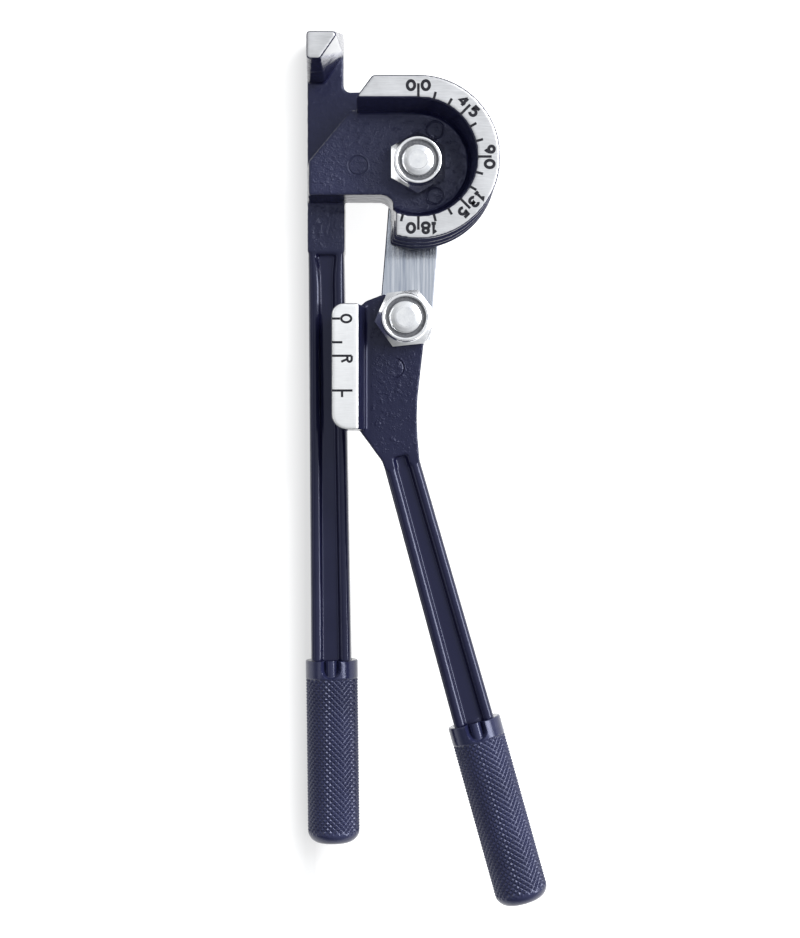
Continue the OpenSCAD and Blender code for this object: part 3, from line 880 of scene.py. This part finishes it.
def grips():
    """Both sleeves, at the ends of their beams."""
    for name, carrier, node, length, top, turn, mid in (
        ("main_sleeve", "frame", "main_grip", HANDLE_L, HANDLE_TOP, HANDLE_LEAN, HANDLE_MID),
        ("lever_sleeve", "lever", "lever_grip", LEVER_L, LEVER_TOP, BEAM_ANGLE, LEVER_MID),
    ):
        end = laid(np.array([[0, -length, 0]]), top, turn, mid)[0]
        place(grip(name, end, turn, mid), carrier, "grip", node)


def fasteners():
    """Nut, lock ring, bolt and washers of both pivots; corner is the angle of a corner of the nut."""
    for pivot, carrier, axis, corner in (("wheel", "frame", WHEEL_AXIS, 30), ("shoe", "link", SHOE_AXIS, 6)):
        nut, screw = pivot + "_nut", pivot + "_bolt"
        place(lock_nut(pivot + "_hex_nut", axis, low(nut, 2), corner), carrier, "zinc_steel", nut)
        place(lock_ring(pivot + "_nylon", axis, low(nut, 2)), carrier, "lock_ring", pivot + "_lock_ring")
        place(bolt(pivot + "_hex_bolt", axis, low(screw, 2), high(screw, 2)), carrier, "zinc_steel", screw)
        for kind in ("head", "thrust"):
            node = f"{pivot}_{kind}_washer"
            disc = washer(f"{pivot}_{kind}_disc", axis, low(node, 2), high(node, 2))
            place(disc, carrier, "zinc_steel", node)


def link():
    """The bar between the two pivots."""
    place(link_bar("link_plate", low("link_bar", 2), high("link_bar", 2)), "link", "link_steel", "link_bar")


# Marks on dial and shoe

INK_H = 0.03
INK_STEP = 0.002
INK_LAYERS = 5
INK_SUNK = 0.005
TICK_W = 0.8
LONG_TICK = 4.35
SHORT_TICK = 2.4
DIGIT_W = 0.95
DIGIT_OUT = RECESS_R + 3.75
DIGIT_SIDE = 2.3
DIGIT_STEP = 2.5
DIAL_NUMBERS = ((0, "0", "0"), (45, "4", "5"), (90, "9", "0"), (135, "13", "5"), (180, "18", "0"))
MARK_W = 0.72
ZERO_Y = -50.3
SHOE_LINES = ((ZERO_Y, 2.67), (-57.65, 3.4), (-61.85, 6.3), (-72.63, 6.55))
SHOE_SIGNS = (("R", -62.95), ("L", -73.7))


def arc(cx, cy, rx, ry, start, end, steps=14):
    turns = np.radians(np.linspace(start, end, steps + 1))
    return [(cx + rx * math.cos(a), cy + ry * math.sin(a)) for a in turns]


def oval(cx, cy, rx, ry):
    return arc(cx, cy, rx, ry, 0, 345, 23)


def glyph(sign):
    """Strokes of a sign about 3 high, as a path and whether it closes on itself."""
    if sign == "0":
        return [(oval(0, 0, 1.15, 1.4), True)]
    if sign == "1":
        return [([(-0.75, 0.8), (0.05, 1.45), (0.05, -1.4)], False), ([(-0.65, -1.4), (0.75, -1.4)], False)]
    if sign == "3":
        return [(arc(0, 0.68, 0.9, 0.74, 160, -80) + arc(0, -0.68, 1.02, 0.76, 80, -160), False)]
    if sign == "4":
        return [([(0.5, 1.4), (-1.05, -0.55), (1.15, -0.55)], False), ([(0.5, 1.45), (0.5, -1.45)], False)]
    if sign == "5":
        bowl = arc(-0.05, -0.48, 1.05, 0.95, 130, -140)
        return [([(0.95, 1.4), (-0.65, 1.4), (-0.75, 0.25)] + bowl, False)]
    if sign == "8":
        return [(oval(0, 0.8, 0.85, 0.74), True), (oval(0, -0.74, 1.08, 0.84), True)]
    if sign == "9":
        return [(oval(0, 0.55, 0.95, 0.88), True), (arc(-0.25, 0.45, 1.2, 1.85, 5, -75, 8), False)]
    if sign == "R":
        return [
            ([(-1.1, 1.3)] + arc(-0.1, 0.62, 0.85, 0.68, 90, -90, 10) + [(-1.1, -0.06)], False),
            ([(-0.1, -0.06), (0.75, -1.95)], False),
        ]
    return [([(-1.1, -1.7), (1.0, -1.7)], False)]


class Ink:
    """Collects drawn lines as thin solids on a face."""

    def __init__(self, z):
        self.z = z
        self.layer = 0
        self.points, self.faces = [], []

    def draw(self, path, width, closed=False):
        path = [Vector(p) for p in path]
        n, start = len(path), len(self.points)
        top = INK_H + INK_STEP * self.layer
        self.layer = (self.layer + 1) % INK_LAYERS
        sides = []
        for i, p in enumerate(path):
            back = (p - path[i - 1]).normalized() if i or closed else None
            ahead = (path[(i + 1) % n] - p).normalized() if i < n - 1 or closed else None
            along = ((back or ahead) + (ahead or back)).normalized()
            across = Vector((-along.y, along.x))
            stretch = max(0.6, across.dot(Vector((-(back or ahead).y, (back or ahead).x))))
            sides.append((p + across * width / 2 / stretch, p - across * width / 2 / stretch))
        for side, height in ((0, 0.0), (0, top), (1, top), (1, 0.0)):
            self.points += [(*pair[side], self.z + height) for pair in sides]
        for i in range(n if closed else n - 1):
            j = (i + 1) % n
            for k in range(4):
                m = (k + 1) % 4
                near, far = start + k * n, start + m * n
                self.faces.append([near + i, near + j, far + j, far + i])
        if not closed:
            self.faces += [[start + k * n + i for k in range(4)] for i in (0, n - 1)]

    def sign(self, sign, spot, width):
        for path, closed in glyph(sign):
            self.draw([spot(x, y) for x, y in path], width, closed)

    def finish(self, name, carrier):
        place(make(name, self.points, self.faces, INK, 40), carrier, "casting")


def on_dial(degrees, across, out):
    """Point on the dial at an angle clockwise from the zero mark, moved across and out."""
    a = math.radians(90 - degrees)
    return (out * math.cos(a) + across * math.sin(a), out * math.sin(a) - across * math.cos(a))


def dial_marks():
    """Ticks every 15 degrees, with a number across each long one."""
    dial = Ink(DIAL_Z - INK_SUNK)
    for degrees in range(0, 196, 15):
        length = LONG_TICK if degrees % 45 == 0 else SHORT_TICK
        dial.draw([on_dial(degrees, 0, RECESS_R + 0.1), on_dial(degrees, 0, RECESS_R + length)], TICK_W)
    for degrees, before, after in DIAL_NUMBERS:
        for side, signs in ((-1, reversed(before)), (1, after)):
            for k, sign in enumerate(signs):
                offset = side * (DIGIT_SIDE + DIGIT_STEP * k)
                dial.sign(sign, lambda x, y: on_dial(degrees, offset + x, DIGIT_OUT + y), DIGIT_W)
    dial.finish("dial_marks", "frame")


def shoe_marks():
    """Lines across the plate face of the shoe, with a zero and two letters turned along it."""
    shoe = Ink(DIAL_Z - INK_SUNK)
    for y, length in SHOE_LINES:
        shoe.draw([(PLATE_X + 0.15, y), (PLATE_X + length, y)], MARK_W)
    shoe.draw(oval(PLATE_X + 4.6, ZERO_Y, 1.55, 1.15), MARK_W, True)
    for sign, y in SHOE_SIGNS:
        shoe.sign(sign, lambda x, up: (PLATE_X + 5.0 + up, y - x), MARK_W)
    shoe.finish("shoe_marks", "lever")


# Stage, light and camera, with floor and lamps in metres

MIDDLE = Vector((0, -0.09, 0))
PHOTO_H = 938
FOCAL_PX = 2094
CAMERA_X, CAMERA_Y, CAMERA_UP = -5.7, -97.0, 650


def floor():
    """White floor that keeps the shadow, with painted shade added: its glow is dimmed in a band from left of
    the main handle to under it.
    """
    reach, pale, painted_shade = 3.0, 0.9, 0.52
    shade_left_edge, shade_right_edge = (-0.048, -0.037), (-0.034, -0.026)
    shade_end_edge = (0.16, 0.24)
    corners = [(x * reach, y * reach, 0) for x, y in ((-1, -1), (1, -1), (1, 1), (-1, 1))]
    mesh = bpy.data.meshes.new("floor")
    mesh.from_pydata(corners, [], [(0, 1, 2, 3)])
    g = Graph("floor_white_painted_shade")
    path = g.add("ShaderNodeLightPath").outputs
    mirrored = g.math("MAXIMUM", path["Is Glossy Ray"], path["Is Transmission Ray"])
    seen = g.math("MAXIMUM", path["Is Camera Ray"], mirrored)
    # Painted shadow: between these edges the glow falls to the painted shade level, along the main handle's
    # length.
    left = g.span(g.axis("X"), *shade_left_edge, pale, painted_shade)
    right = g.span(g.axis("X"), *shade_right_edge, painted_shade, pale)
    along = g.math("ABSOLUTE", g.math("SUBTRACT", g.axis("Y"), MIDDLE.y))
    beyond = g.span(along, *shade_end_edge, painted_shade, pale)
    level = g.math("MAXIMUM", beyond, g.math("MAXIMUM", left, right))
    g.set(
        Base_Color=(0.45, 0.45, 0.45, 1),
        Roughness=1.0,
        Specular_IOR_Level=0.0,
        Emission_Color=WHITE,
        Emission_Strength=g.math("MULTIPLY", seen, level),
    )
    stand("floor", mesh, g.material)


def lamp(name, spot, size, energy):
    """Soft lamp aimed at the middle of the tool."""
    data = bpy.data.lights.new(name, "AREA")
    data.shape = "RECTANGLE"
    data.size, data.size_y = size
    data.energy = energy
    obj = bpy.data.objects.new(name, data)
    obj.location = spot
    obj.rotation_euler = (MIDDLE - Vector(spot)).to_track_quat("-Z", "Y").to_euler()
    bpy.context.scene.collection.objects.link(obj)


def world():
    """White room, brightest overhead and to the right, with a pale rim at the level of the floor."""
    sky = bpy.data.worlds.new("studio")
    sky.use_nodes = True
    tree = sky.node_tree
    coords = tree.nodes.new("ShaderNodeTexCoord")

    def glow(toward, span, levels):
        """Brightness that rises with the turn toward a direction."""
        turn = tree.nodes.new("ShaderNodeVectorMath")
        turn.operation = "DOT_PRODUCT"
        turn.inputs[1].default_value = toward
        level = tree.nodes.new("ShaderNodeMapRange")
        for socket, value in zip(("From Min", "From Max", "To Min", "To Max"), span + levels):
            level.inputs[socket].default_value = value
        tree.links.new(coords.outputs["Generated"], turn.inputs[0])
        tree.links.new(turn.outputs["Value"], level.inputs["Value"])
        return level.outputs["Result"]

    brighter = tree.nodes.new("ShaderNodeMath")
    brighter.operation = "MAXIMUM"
    tree.links.new(glow((0.55, 0.35, 0.55), (-0.3, 0.85), (0.18, 1.1)), brighter.inputs[0])
    tree.links.new(glow((0, 0, 1), (0.05, 0.4), (0.9, 0.1)), brighter.inputs[1])
    background = tree.nodes["Background"]
    background.inputs["Color"].default_value = (0.96, 0.98, 1, 1)
    tree.links.new(brighter.outputs["Value"], background.inputs["Strength"])
    bpy.context.scene.world = sky


def camera():
    """Camera straight above the tool, as far off as the photo's was."""
    data = bpy.data.cameras.new("camera")
    data.lens = FOCAL_PX / PHOTO_H * data.sensor_width
    data.clip_start, data.clip_end = 0.01, 20
    obj = bpy.data.objects.new("camera", data)
    obj.location = (CAMERA_X * MM, CAMERA_Y * MM, (DIAL_Z + CAMERA_UP) * MM)
    bpy.context.scene.collection.objects.link(obj)
    bpy.context.scene.camera = obj


forming_casting()
lever_casting()
grips()
fasteners()
link()
dial_marks()
shoe_marks()
floor()
world()
lamp("key", (0.42, 0.3, 0.95), (0.16, 0.16), 1.5)
lamp("right", (0.73, 0.2, 0.53), (1.05, 0.34), 12.5)
lamp("left", (-0.64, 0.0, 0.45), (0.9, 0.22), 0.75)
camera()
bpy.context.scene.view_settings.view_transform = "Standard"
